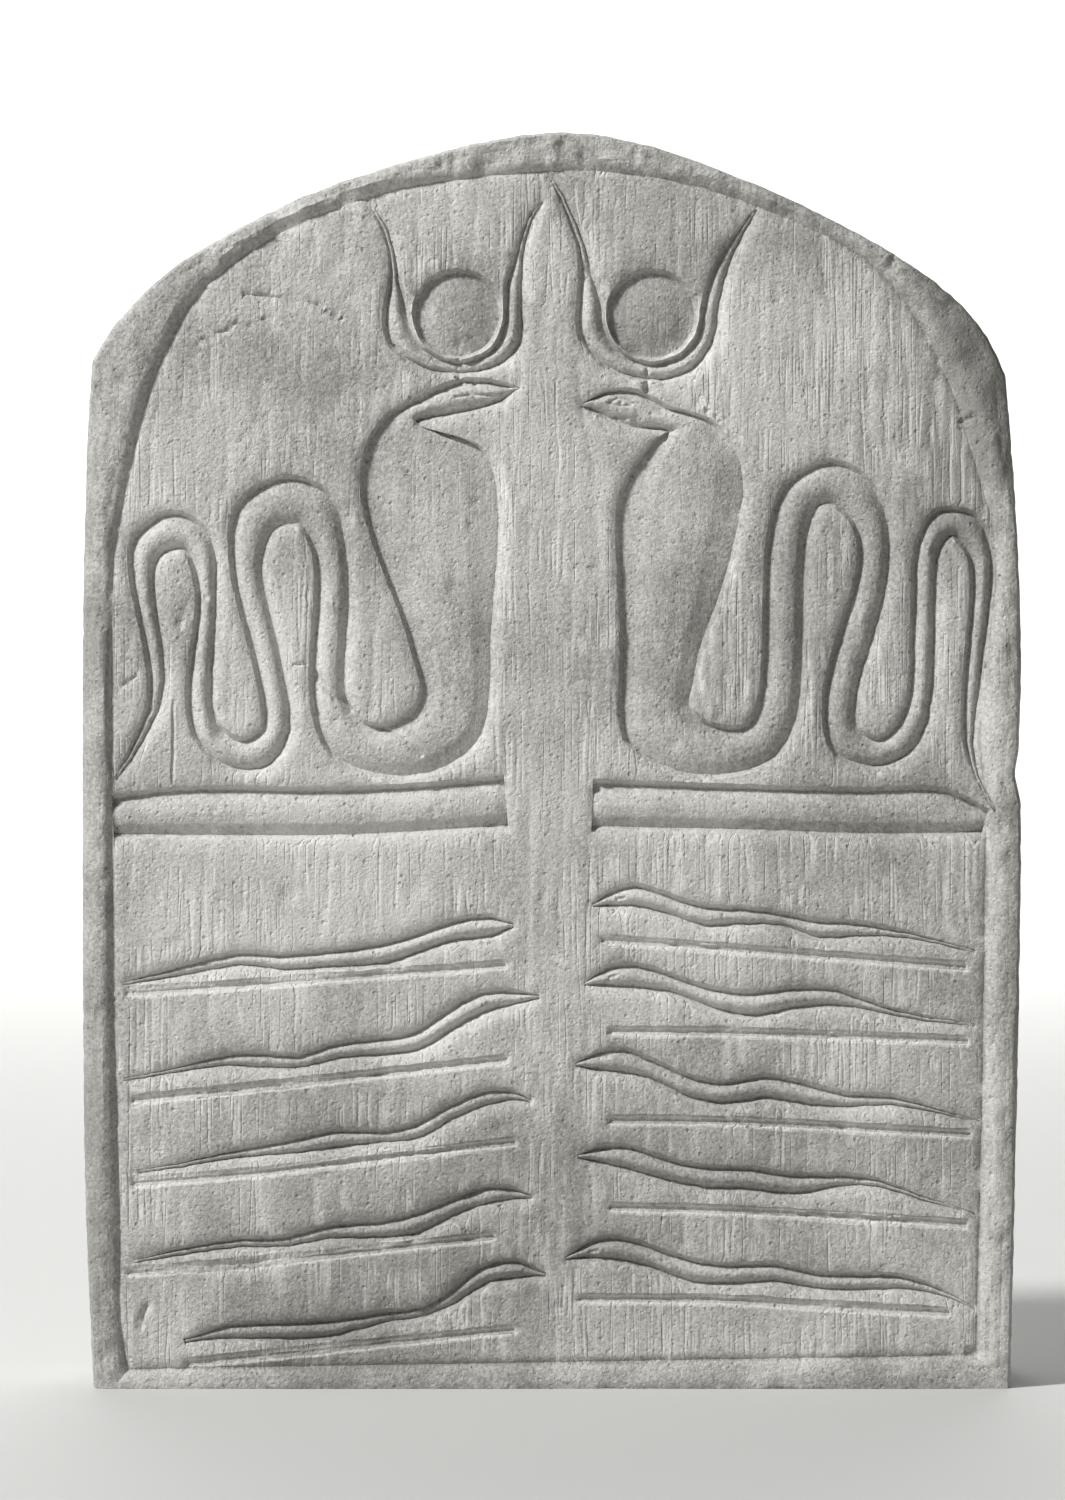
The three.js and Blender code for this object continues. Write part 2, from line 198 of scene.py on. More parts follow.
# %% Lines of the grooves and of the crowns' undersides
BASE_LINES = [
    [(-91.3, 84.8), (-61.7, 86.8), (-9.8, 90.7)], [(-90, 61.7), (-40, 67), (-9.5, 70.5)],
    [(-90, 43.9), (-61.7, 46.2), (-8, 52.7)], [(-91, 24.6), (-42, 29), (-12.5, 32.4)],
    [(-78.5, 5.2), (-28.9, 10.2), (-8, 12.4)], [(11, 96.2), (52.3, 93.2), (89, 90.3)],
    [(12.5, 76.6), (40, 76.2), (89.5, 74.5)], [(12.5, 57.4), (38.6, 57.1), (90, 54.4)],
    [(12.4, 38.7), (38.6, 38), (89.2, 35)], [(6, 19), (36, 18.8), (85.5, 16)],
]
CROWN_EDGES = [
    [(-35, 224), (-20.6, 216.8)], [(-19.4, 216.8), (-7, 226)],
    [(7, 222), (20, 215)], [(21.2, 215), (35, 222)],
]
print(f"{len(BASE_LINES)} base lines and {len(CROWN_EDGES)} crown edges")

# %% [markdown]
# A groove has a slope on either side of its bottom: the upper one wide and in shade, the lower one
# narrower and steeper, where it catches the light. Two planes along each groove give the slopes
# their own edges. The undersides of the crowns are cut the same way.

# %% Slice along the base lines
ABOVE_GROOVE = 1.5
BELOW_GROOVE = 1.3
CROWN_WALL = 1.1
BESIDE = 4
PAST_END = 0.005
SHALLOW = 1.6 * MM


def straight_pieces(line):
    for (x0, z0), (x1, z1) in zip(line, line[1:]):
        start = Vector((x0, 0, z0)) * MM
        along = Vector((x1 - x0, 0, z1 - z0)) * MM
        below = Vector((along.z, 0, -along.x)).normalized()
        yield start, along, below


def beside_line(vert, start, along, below):
    """How many millimetres a corner lies below the line, or None beyond the line's ends."""
    share = (vert.co - start).dot(along) / along.length_squared
    return (vert.co - start).dot(below) / MM if -PAST_END < share < 1 + PAST_END else None


def near_line(vert, start, along, below):
    aside = beside_line(vert, start, along, below)
    return aside is not None and abs(aside) < BESIDE


def slice_beside(line, offsets):
    """Cut crisp edges beside a line on the field, at offsets below it in millimetres."""
    for start, along, below in straight_pieces(line):
        for offset in offsets:
            faces = [face for face in net.faces if abs(face.verts[0].co.y - field_y) < SHALLOW
                     and all(near_line(vert, start, along, below) for vert in face.verts)]
            place = start + below * offset * MM
            cut = bmesh.ops.bisect_plane(net, geom=with_edges(faces), dist=NEAR,
                                         plane_co=place, plane_no=below)["geom_cut"]
            for item in cut:
                if isinstance(item, bmesh.types.BMEdge):
                    item.smooth = False


for line in BASE_LINES:
    slice_beside(line, (-ABOVE_GROOVE, BELOW_GROOVE))
for line in CROWN_EDGES:
    slice_beside(line, (-CROWN_WALL, 0))
print(f"{len(net.faces)} faces after the base lines")

# %% [markdown]
# ## Even curves
# The solid's outlines are made of short straight pieces. Each corner on a crisp edge is moved
# towards the middle of its two neighbours and then a little further back, again and again, which
# rounds the pieces into a curve without pulling the curve inwards. True corners, such as the end of
# a bar, are left alone. Corners that crowd together on level ground are dissolved first.

# %% Round the outlines
CORNER = math.radians(33)
CROWDED = 0.32 * MM
TOWARDS_AND_BACK = (0.5, -0.52)
CURVE_ROUNDS = 6


def on_crisp_edge(vert):
    return any(not edge.smooth for edge in vert.link_edges)


def round_crisp_edges(mesh, rounds):
    """Turn chains of straight crisp edges into curves, and return how many corners took part."""
    chains = {}
    for vert in mesh.verts:
        ends = [edge.other_vert(vert) for edge in vert.link_edges if not edge.smooth]
        if len(ends) == 2:
            before, after = (end.co - vert.co for end in ends)
            if before.angle(-after) < CORNER:
                chains[vert] = ends
    for step in range(rounds):
        pull = TOWARDS_AND_BACK[step % 2]
        places = {vert: vert.co.lerp((ends[0].co + ends[1].co) / 2, pull)
                  for vert, ends in chains.items()}
        for vert, place in places.items():
            vert.co = place
    return len(chains)


crowded = [vert for vert in net.verts if all(faces_viewer(face) for face in vert.link_faces)
           and not on_crisp_edge(vert)
           and min(edge.calc_length() for edge in vert.link_edges) < CROWDED]
bmesh.ops.dissolve_verts(net, verts=crowded)
print(f"{round_crisp_edges(net, CURVE_ROUNDS)} corners rounded")

# %% [markdown]
# The corners between the crisp edges then settle between their neighbours, and every face becomes
# triangles.

# %% Relax the net
RELAX_ROUNDS = 2

for _ in range(RELAX_ROUNDS):
    free = [vert for vert in net.verts if not on_crisp_edge(vert)]
    bmesh.ops.smooth_vert(net, verts=free, factor=0.5,
                          use_axis_x=True, use_axis_y=True, use_axis_z=True)
bmesh.ops.triangulate(net, faces=net.faces[:])
print(f"{len(net.faces)} triangles on the face")

# %% [markdown]
# ## Narrow marks
# Every mark a chisel or the years have left is a path across the face, in millimetres from the
# middle of the base. Each row below is a half width, a depth and the path. The stems join the
# crowns to the heads as grooves, which are set to their depth rather than pressed.

# %% The narrow marks, as paths
CRACKS = [
    (0.9, 0.9, [(-50.5, 153), (-48, 150), (-46, 148.5), (-43, 146)]),
    (0.5, 0.4, [(-43, 146), (-38, 142.5), (-33, 140), (-28, 136)]),
    (0.5, 0.5, [(-57, 155.3), (-52.5, 155.5)]),
    (0.6, 0.5, [(-76, 224.7), (-73, 226.5), (-70, 227), (-67.5, 229), (-64.5, 227.5)]),
    (0.5, 0.5, [(-62, 229.7), (-60, 229.3)]),
    (0.6, 0.6, [(-66, 235), (-60, 234.5), (-55, 234), (-50, 232.5), (-45, 230)]),
    (0.5, 0.4, [(-93.5, 150), (-89, 153)]),
    (0.5, 0.4, [(-81.3, 147), (-81.2, 138), (-81.5, 129.5)]),
    (0.8, 0.9, [(88, 207.6), (90.5, 208.7)]),
]
GOUGES = [
    (0.8, 0.9, [(-87, 17.6), (-87.9, 15.2), (-88, 13)]),
    (1.3, 0.5, [(-80, 164), (-78.6, 167), (-77, 170)]),
    (1.6, 1.0, [(90, 7.6), (91.5, 7.4)]),
    (0.9, 0.7, [(-74.3, 169.8)]),
    (0.9, 0.8, [(-44.5, 148)]),
]
CROWN_LINES = [
    (0.6, 0.45, [(-32.6, 245.3), (-28, 243.5), (-24, 242), (-19, 240.6)]),
    (0.9, 0.5, [(7.3, 241), (9.6, 238.6), (12, 236)]),
    (0.7, 0.5, [(32, 212.4), (36, 208.6), (40, 203.8)]),
]
STEMS = [
    (1.2, 1.7, [(-19.9, 222), (-19.9, 216.8)]),
    (1.2, 1.7, [(20.6, 220.4), (20.6, 214)]),
]
EYES = [
    (0.5, 0.5, [(12.6, 211.7), (14.2, 212.6), (16.2, 212.3), (17.2, 211.3)]),
    (0.5, 0.45, [(12.6, 211.7), (14.4, 211), (17.2, 211.3)]),
    (0.6, 0.5, [(15, 211.8)]),
    (0.45, 0.45, [(8.6, 208.6), (12, 208.3), (16, 208.6)]),
    (0.6, 0.5, [(-16.5, 215.7)]),
    (0.5, 0.45, [(-20.5, 213), (-17, 213.5), (-13, 213.4)]),
    (0.45, 0.4, [(-21, 210.2), (-16, 210.8), (-12, 211.8)]),
]
SNAKE_TIPS = [(8.8, 103.6), (7.1, 86.8), (5.1, 69.4), (5.6, 49.7), (3, 27.8)]
for tip_x, tip_z in SNAKE_TIPS:
    EYES.append((0.5, 0.4, [(tip_x + 5.4, tip_z + 1.5), (tip_x + 6.8, tip_z + 1.7)]))
LEFT_TIPS = [(-9, 95), (-4, 80.3), (-7, 58.4), (-6, 38.5), (-1.3, 24.2)]
for tip_x, tip_z in LEFT_TIPS:
    EYES.append((0.45, 0.35, [(tip_x - 6.4, tip_z + 0.4), (tip_x - 5, tip_z + 0.5)]))
narrow_marks = CRACKS + GOUGES + CROWN_LINES + STEMS + EYES
print(f"{len(narrow_marks)} narrow marks")

# %% [markdown]
# Around the narrow marks the net is split first, once for all of them and once more for the
# narrowest, so that they keep their own shape. A path is walked in short steps, and the corners
# near each step are looked up on a flat map of the face, so the path needs no depth.

# %% Split the net where the narrow marks run
SPLIT_REACH = 0.5
SPLIT_STEP = 0.5
SPLIT_WIDTHS = (2.0, 0.7)


def samples(path, step):
    """Points along a path of straight pieces, no further apart than the step."""
    if len(path) == 1:
        yield path[0]
    for (x0, z0), (x1, z1) in zip(path, path[1:]):
        count = max(1, math.ceil(math.hypot(x1 - x0, z1 - z0) / step))
        for i in range(count + 1):
            share = i / count
            yield x0 + (x1 - x0) * share, z0 + (z1 - z0) * share


def flat_map(verts):
    tree = kdtree.KDTree(len(verts))
    for i, vert in enumerate(verts):
        tree.insert((vert.co.x / MM, 0, vert.co.z / MM), i)
    tree.balance()
    return tree


for finest in SPLIT_WIDTHS:
    verts = net.verts[:]
    tree = flat_map(verts)
    near = set()
    for half_width, _depth, path in narrow_marks:
        if half_width > finest:
            continue
        for x, z in samples(path, SPLIT_STEP):
            found = tree.find_range((x, 0, z), half_width + SPLIT_REACH)
            near.update(verts[i] for _co, i, _away in found)
    edges = [edge for edge in net.edges if edge.verts[0] in near and edge.verts[1] in near]
    bmesh.ops.subdivide_edges(net, edges=edges, cuts=1, use_grid_fill=True)
bmesh.ops.triangulate(net, faces=[face for face in net.faces if len(face.verts) > 3])
print(f"{len(net.faces)} triangles on the face, after splitting")

# %% [markdown]
# ## Tool strokes
# The field was dressed with long, nearly upright strokes, close and regular towards the right,
# longer and crossing each other down the middle. Each zone below has its own count, length and
# tilt, and the strokes fall at random inside it. They fade on the carved bodies, which were cut
# after the field and rubbed smoother.

# %% Scatter the strokes
STROKE_LEAN = 1.0
STROKE_BOW = 0.02
STROKE_HALF_WIDTHS = (0.55, 0.95)
STROKE_DEPTHS = (0.1, 0.3)
STROKE_ZONES = [
    # left, right, bottom, top, strokes, shortest, longest, tilt in degrees
    (-11, 12, 15, 245, 110, 18, 60, 4.5),
    (50, 95, 190, 250, 120, 10, 34, 2.5),
    (20, 92, 132, 190, 110, 8, 30, 2.5),
    (-92, -20, 132, 190, 70, 6, 22, 3),
    (-88, -12, 192, 252, 90, 8, 26, 4),
    (12, 50, 195, 255, 70, 8, 26, 3),
    (-92, -10, 92, 122, 60, 6, 20, 3),
    (10, 92, 98, 122, 50, 6, 16, 3),
    (-92, -8, 6, 92, 200, 5, 14, 4),
    (8, 92, 6, 98, 240, 5, 15, 3),
]
strokes = []
for left, right, bottom, top, count, shortest, longest, tilt in STROKE_ZONES:
    for _ in range(count):
        length = random.uniform(shortest, longest)
        lean = math.tan(math.radians(random.gauss(STROKE_LEAN, tilt))) * length
        x = random.uniform(left, right)
        z = random.uniform(bottom, top)
        bow = random.uniform(-STROKE_BOW, STROKE_BOW) * length
        path = [(x - lean / 2, z - length / 2), (x + bow, z), (x + lean / 2, z + length / 2)]
        strokes.append((random.uniform(*STROKE_HALF_WIDTHS), random.uniform(*STROKE_DEPTHS), path))
print(f"{len(strokes)} tool strokes")

# %% [markdown]
# ## Pressing
# Each corner keeps the deepest push that any mark gives it. A round mark is deepest on its path
# and level there, and a bevelled one is a plain slope down to its path. The carved figures take
# the tool strokes at a third of their depth.

# %% How a mark is pressed
ON_FIELD = 0.03 * MM
ON_FIGURE = 0.3

verts = net.verts[:]
tree = flat_map(verts)
pressed = [0.0] * len(verts)
on_field = [abs(vert.co.y - field_y) < ON_FIELD for vert in verts]
figure_share = [1.0 if flat else ON_FIGURE for flat in on_field]


def press(path, half_width, deep, shares=None, bevel=False):
    """Push the corners near a path into the stone, by millimetres kept in the list `pressed`."""
    for x, z in samples(path, half_width / 2):
        for _co, i, away in tree.find_range((x, 0, z), half_width):
            share = away / half_width
            push = deep * (1 - share if bevel else 1 - share ** 2)
            if shares:
                push *= shares[i]
            pressed[i] = max(pressed[i], push)


print(f"{sum(on_field)} of {len(verts)} corners lie on the field")

# %% [markdown]
# The strokes come first and fade in and out in drifts. What they press is also kept apart, because
# a stroke is paler than the stone round it. Then come the single marks, and soft dips where the
# ground was scraped or broken lower.

# %% Press the strokes, the marks and the dips
FAINTEST = 0.3
DRIFT = 9
DIPS = [
    # across, up, half width, depth
    (-29, 240.8, 3.4, 0.45), (-25.5, 240.6, 2.6, 0.35), (-31, 237.5, 2.4, 0.4), (-69, 146, 6, 0.5),
    (-72, 150, 4, 0.4), (-82, 14, 7, 0.4), (-80, 19, 5, 0.35), (27, 213.8, 4, 0.35), (90, 126, 4, 0.5),
    (84, 124.5, 3, 0.3), (97, 121, 4, 0.6), (-50, 135, 6, 0.3), (-57, 251, 4.5, 1.3), (-44, 256, 3, 0.8),
    (-58, 245, 5, 0.35), (-53, 242, 5, 0.4), (-48, 239, 5, 0.4), (-43, 235.5, 4.5, 0.35), (9, 266, 4, 0.8),
    (-2, 266.5, 3.5, 0.7), (-50, 9.6, 2.6, 0.4), (-42, 11, 3, 0.5), (-34, 12.3, 3.4, 0.5),
    (-26, 14, 3.8, 0.55), (-18, 16, 4, 0.5), (52, 252, 3, 0.6),
]

for half_width, deep, path in strokes:
    fade = max(FAINTEST, noise.noise(Vector(path[0] + (0,)) / DRIFT) + 0.8)
    press(path, half_width, deep * fade, figure_share)
stroke_depth = list(pressed)
for half_width, deep, path in CRACKS + GOUGES + CROWN_LINES + EYES:
    press(path, half_width, deep)
for x, z, half_width, deep in DIPS:
    press([(x, z)], half_width, deep)

print(f"{len(DIPS)} dips, deepest push so far {max(pressed):.1f} mm")

# %% [markdown]
# ## Grooves
# Beside a base line the depth is not pressed but set: nothing at the edge of each slope, and the
# full depth on the line. Ground that is already deeper belongs to a snake and is left. The crowns'
# undersides fall away from their straight edges in the same way.

# %% Set the depth of the grooves
GROOVE_DEEP = 0.95
GROOVE_HALF = 0.75
LEVEL = 0.05
SNAKE_DEEP = 0.85
CROWN_DEEP = 1.1
CROWN_REACH = 3.2

grooved = [None] * len(verts)
for line in BASE_LINES:
    for start, along, below in straight_pieces(line):
        for i, vert in enumerate(verts):
            aside = beside_line(vert, start, along, below)
            sunk = (vert.co.y - field_y) / MM
            if aside is None or not -ABOVE_GROOVE < aside < BELOW_GROOVE or sunk > SNAKE_DEEP:
                continue
            share = aside / BELOW_GROOVE if aside > 0 else -aside / ABOVE_GROOVE
            if abs(aside) < GROOVE_HALF or sunk < LEVEL:
                grooved[i] = GROOVE_DEEP * (1 - share)

for line in CROWN_EDGES:
    for start, along, below in straight_pieces(line):
        for i, vert in enumerate(verts):
            aside = beside_line(vert, start, along, below)
            if aside is not None and -CROWN_REACH < aside < 0 and on_field[i]:
                grooved[i] = min(1, -aside / CROWN_WALL) * CROWN_DEEP
print(f"{sum(depth_set is not None for depth_set in grooved)} corners in grooves")

# %% [markdown]
# ## Lips
# A chisel seldom leaves a clean right angle. The field is cut a little deeper along the rim, and
# the edge above each wall is bevelled: more where the wall faces the light, so that a bright line
# follows the figure, and less where it turns away. The rim's own front edge is rubbed down too.
# Each row is a half width and a depth.

# %% Bevel the edges
QUIRK = (1.3, 0.6)
LIT_LIP = (1.6, 0.8)
SHADED_LIP = (1.3, 0.5)
RIM_CREST = (1.0, 0.3)
TO_LIGHT = Vector((-0.6, 0, 0.8))
LIT = 0.25
DROP = 0.2 * MM
RIM_TOP = 0.02 * MM
RIM_FALL = 0.1 * MM


def crisp_where(test):
    return [i for i, vert in enumerate(verts) if on_crisp_edge(vert) and test(i, vert)]


def meets_rim(i, vert):
    return on_field[i] and any(e.other_vert(vert).co.y < field_y - DROP for e in vert.link_edges)


def meets_wall(i, vert):
    return on_field[i] and any(e.other_vert(vert).co.y > field_y + DROP for e in vert.link_edges)


def lit(i):
    """How squarely the wall below this lip faces the light, from minus one to one."""
    walls = [face.normal for face in verts[i].link_faces if not faces_viewer(face)]
    facing = sum(walls, Vector((0, 0, 0))) * Vector((1, 0, 1))
    return facing.normalized().dot(TO_LIGHT)


border = crisp_where(meets_rim)
lips = [i for i in crisp_where(meets_wall) if grooved[i] is None]
lit_lips = [i for i in lips if lit(i) > LIT]
shaded_lips = [i for i in lips if lit(i) <= LIT]
crest = [i for i, vert in enumerate(verts) if vert.co.y < low.y + RIM_TOP and any(
    e.other_vert(vert).co.y > low.y + RIM_FALL and not e.is_boundary for e in vert.link_edges)]
bevels = ((border, QUIRK), (lit_lips, LIT_LIP), (shaded_lips, SHADED_LIP), (crest, RIM_CREST))
for group, (half_width, deep) in bevels:
    for i in group:
        place = verts[i].co / MM
        press([(place.x, place.z)], half_width, deep, bevel=True)
print(f"{len(border)} corners along the field's border, {len(lips)} along figures")

# %% [markdown]
# ## Weather and wear
# Small pits lie over the face in drifts. Each chip is several bites round one place, most of them
# along the rim. Nothing here may depend on where the net's corners fall, so every draw is made
# whether or not a corner is near.

# %% Pits and chips
PITS = [
    # half width, depth, how many are tried
    (1.1, 0.45, 420), (1.6, 0.6, 120), (2.6, 0.7, 40),
]
BITES = 7
CHIPS = [
    # across, up, half width, depth
    (-57, 251, 3.2, 0.9), (-44, 256, 2.0, 0.7), (50, 252, 2.2, 0.8), (73, 241, 2.4, 0.9),
    (85, 230, 2.0, 0.7), (31.5, 212, 1.8, 0.6), (0, 267, 3.0, 0.8), (6, 268, 2.6, 0.9),
    (-4, 266, 2.0, 0.7), (10, 265.5, 2.2, 0.8), (-99, 164.5, 2.2, 0.9), (-99.5, 122, 2.0, 0.9),
    (-98.5, 80, 2.4, 0.9), (97, 121, 2.6, 0.8),
]


def wander(x, z, size, seed):
    """A smooth random number around zero for a place on the face."""
    return noise.noise(Vector((x / size, seed, z / size)))


for half_width, deep, count in PITS:
    for _ in range(count):
        x, z = random.uniform(-98, 98), random.uniform(2, 268)
        if wander(x, z, 30, 9) > random.uniform(-0.5, 0.3):
            press([(x, z)], half_width * random.uniform(0.7, 1.2), deep * random.uniform(0.5, 1))
for x, z, half_width, deep in CHIPS:
    for _ in range(BITES):
        place = (x + random.gauss(0, half_width * 0.5), z + random.gauss(0, half_width * 0.5))
        press([place], half_width * random.uniform(0.4, 1.0), deep * random.uniform(0.5, 1))
print(f"{len(CHIPS)} chips of {BITES} bites each")

# %% [markdown]
# Stains, coarse stone and comb marks are oval patches with wavering edges. They only choose the
# colour and the finest texture, through the layers that the net carries. Some of the stain patches
# are painted light and shade: paler along the right rim's slope, which faces the lamp, and darker
# over the right shoulder, which turns away from it. The others are the stone's own stains and
# paler breaks.

# %% Patches
# Stains and paler breaks, with painted light on the right rim's slope and painted shade on the right
# shoulder.
STAINS_AND_PAINTED_LIGHT = [
    # across, up, half width, half height, shade: darker below zero
    (-5, 105, 60, 30, 0.45), (-47, 218, 22, 9, -0.5), (62, 243, 30, 12, -0.5), (90, 205, 10, 30, -0.4),
    (-99, 50, 5, 60, -0.6), (-99, 150, 5, 40, -0.4), (70, 165, 28, 30, -0.25), (-20, 22, 75, 22, -0.35),
    (-20, 231, 11, 11, -0.7), (21.5, 230, 11, 11, -0.8), (47, 233, 9, 9, 0.5), (-82, 14, 6, 10, 0.4),
    (-55, 58, 20, 6, -0.3), (-75, 160, 30, 30, 0.25), (0, 248, 8, 14, -0.1), (95.5, 60, 2.5, 70, 0.5),
    (-57, 251, 4, 3, 1.0), (31, 212, 2.5, 2, 0.9), (88, 215, 12, 34, -0.3),
]
COARSE = [(-60, 225, 38, 30), (4, 267, 14, 6), (-60, 12, 40, 12), (47, 233, 9, 9), (0, 3, 110, 5)]
COMBED = [(72, 218, 30, 36), (62, 160, 42, 30), (30, 245, 16, 12)]


def reach(x, z, across, up, half_width, half_height):
    """One in the middle of an oval patch, falling smoothly to nothing past its wavering edge."""
    away = math.hypot((x - across) / half_width, (z - up) / half_height)
    away += 0.5 * wander(x, z, 11, 12) + 0.3 * wander(x, z, 4, 13)
    return max(0, min(1, 1.4 - away))


print(f"{len(STAINS_AND_PAINTED_LIGHT)} stains, {len(COARSE)} coarse patches, {len(COMBED)} combed ones")

# %% [markdown]
# The right shoulder has been rubbed back into a slope that starts beside the field, and the left
# edge has a long narrow facet. How far a place on the rim lies from the field decides how far it
# has gone back.

# %% The rubbed rim
SHOULDER_SLOPE = 0.42
SLOPE_START = 4.6
FACET_SLOPE = 0.5
FACET_START = -96.3
FACET_TOP = 214
DEEPEST_WEAR = 3.2
border_map = kdtree.KDTree(len(border))
for i in border:
    border_map.insert((verts[i].co.x / MM, 0, verts[i].co.z / MM), i)
border_map.balance()


def fall_away(x, z):
    """How many millimetres a place on the rim has been rubbed back."""
    nearest, _i, from_field = border_map.find((x, 0, z))
    if (x - nearest.x) * x + (z - nearest.z) * (z - 120) < 0:
        return 0
    shoulder = min(1, max(0, 1.5 - math.hypot((x - 86) / 30, (z - 214) / 36)))
    past_start = max(0, from_field - SLOPE_START + 1.2 * wander(x, z, 8, 14))
    right = shoulder * past_start * SHOULDER_SLOPE if x > 30 else 0
    facet = max(0, min(1, (FACET_TOP - z) / 6)) * min(1, z / 60)
    left = facet * max(0, FACET_START - x) * FACET_SLOPE
    return min(DEEPEST_WEAR, max(right, left))


print(f"the rim has gone back {fall_away(92, 220):.1f} mm on its right shoulder")

# %% [markdown]
# ## Moving the corners
# Now every corner gets its place. The field rises and falls a quarter of a millimetre over a few
# centimetres. A figure's wall and back become one round curve up from the foot of its cut. The
# rim has lost its sharpness and is broken most along the top. Crisp outlines waver by a tenth of a
# millimetre, as a hand holding a chisel does. All of it goes into the stone, never out of the
# block, and the stems are set as grooves between head and crown.

# %% Move every corner
CUT_DEPTH = 1.8  # the foot of a figure's wall, below the field
BODY_SWELL = 1.62  # a body's middle rises this far above its foot, on a rounder curve
FIRST_RISE = 1.35
SWELL_CURVE = 1.6
HIGHEST_BUMP = -0.25
WAVER = 0.18
BORDER_SHADE = 0.8
BROKEN_FROM = 225

# Painted shade: the field's border on the right and along the bottom, which faces away from the lamp, is
# darkened in colour.
painted_border_shade = [0.0] * len(verts)
for i in border:
    if verts[i].co.x > 60 * MM or verts[i].co.z < 10 * MM:
        painted_border_shade[i] = BORDER_SHADE


def rim_roughness(x, z):
    broken = 1 + min(1, max(0, (z - BROKEN_FROM) / 20))
    return broken, 0.9 * abs(wander(x, z, 9, 4)) + 0.5 * abs(wander(x, z, 2.8, 5)) + 0.1


# Convex crisp edges off the rim are marked to be painted paler below, as rubbed stone and a painted
# highlight.
for i, vert in enumerate(verts):
    x, z = vert.co.x / MM, vert.co.z / MM
    vert[stain_and_painted_light] = sum(shade * reach(x, z, *patch) for *patch, shade in STAINS_AND_PAINTED_LIGHT) - painted_border_shade[i]
    vert[coarse] = max(reach(x, z, *patch) for patch in COARSE)
    vert[tooled] = figure_share[i]
    vert[combed] = figure_share[i] * max(reach(x, z, *patch) for patch in COMBED)
    vert[scored] = stroke_depth[i]
    sunk = (vert.co.y - field_y) / MM
    if grooved[i] is not None:
        vert.co.y = field_y + grooved[i] * MM
    elif 0.03 < sunk < CUT_DEPTH:
        share = min(1, (CUT_DEPTH - sunk) / FIRST_RISE)
        vert.co.y += (CUT_DEPTH - BODY_SWELL * share ** SWELL_CURVE - sunk) * MM
    ground = 0.28 * wander(x, z, 42, 1) + 0.12 * wander(x, z, 12, 2) + 0.05 * wander(x, z, 3.5, 3)
    rim = max(0, (field_y - vert.co.y) / (field_y - low.y))
    ground += fall_away(x, z)
    broken, roughness = rim_roughness(x, z)
    ground += rim * broken * roughness
    if rim == 0:
        ground = max(ground, HIGHEST_BUMP)
    vert[hollow] = max(0, vert.co.y - field_y) / MM + pressed[i]
    vert.co.y += (ground + pressed[i]) * MM
    for half_width, deep, ((stem_x, top), (_x, bottom)) in STEMS:
        away = abs(x - stem_x) / half_width
        if away < 1 and bottom < z < top:
            vert.co.y = max(vert.co.y, field_y + deep * (1 - away) * MM)
    vert.co.x += WAVER * wander(x, z, 2.6, 6) * MM
    vert.co.z += WAVER * wander(x, z, 2.6, 7) * MM
    if on_crisp_edge(vert):
        bends = [edge.calc_face_angle_signed(0) for edge in vert.link_edges if not edge.smooth]
        vert[wear_and_highlight] = 1.0 if max(bends, default=0) > 0.2 and rim == 0 else 0.0
print(f"deepest mark {max(pressed):.1f} mm")

# %% [markdown]
# ## Sides and back
# The sides were sawn and dressed, and nobody was meant to see the back. The rim of the carved face
# is an open loop, so the sides are that loop pulled backwards a few millimetres at a time, and the
# back is the last loop, filled. After the first pull the loop is thinned, because plain sides need
# fewer corners, but the two corners at the base always stay.

# %% Pull the first ring back and thin it
THIN_TO = 2.6 * MM
FIRST_PULL = 7.4 * MM
AT_BASE = 0.01 * MM
FOOT_CORNER = 90 * MM


def open_loop(mesh):
    return [edge for edge in mesh.edges if edge.is_boundary]


def pull_back(mesh, loop, to_y):
    pulled = bmesh.ops.extrude_edge_only(mesh, edges=loop)["geom"]
    for item in pulled:
        if isinstance(item, bmesh.types.BMVert):
            item.co.y = to_y
    return [item for item in pulled if isinstance(item, bmesh.types.BMEdge) and item.is_boundary]


def walk(loop):
    """The corners of a closed loop of edges, in order."""
    start = loop[0].verts[0]
    corners, edge, corner = [start], loop[0], loop[0].verts[1]
    while corner != start:
        corners.append(corner)
        edge = next(e for e in corner.link_edges if e.is_boundary and e != edge)
        corner = edge.other_vert(corner)
    return corners


front_verts = set(net.verts)
loop = pull_back(net, open_loop(net), low.y + FIRST_PULL)
spare, last = [], None
for corner in walk(loop):
    at_base_corner = corner.co.z < AT_BASE and abs(corner.co.x) > FOOT_CORNER
    if last is None or (corner.co - last).length > THIN_TO or at_base_corner:
        last = corner.co.copy()
    else:
        spare.append(corner)
bmesh.ops.dissolve_verts(net, verts=spare)
loop = open_loop(net)
print(f"{len(loop)} corners round the sides, {len(spare)} thinned out")

# %% [markdown]
# The rings then run evenly to just short of the back. The last two draw in a little, which rounds
# the edge of the back.

# %% Pull the sides back and close the back
SIDE_STEP = 3.6 * MM
BACK_ROUND = 2.6 * MM
BACK_EDGE = [
    # millimetres short of the back, millimetres drawn in
    (0.8, 0.8), (0, 1.8),
]

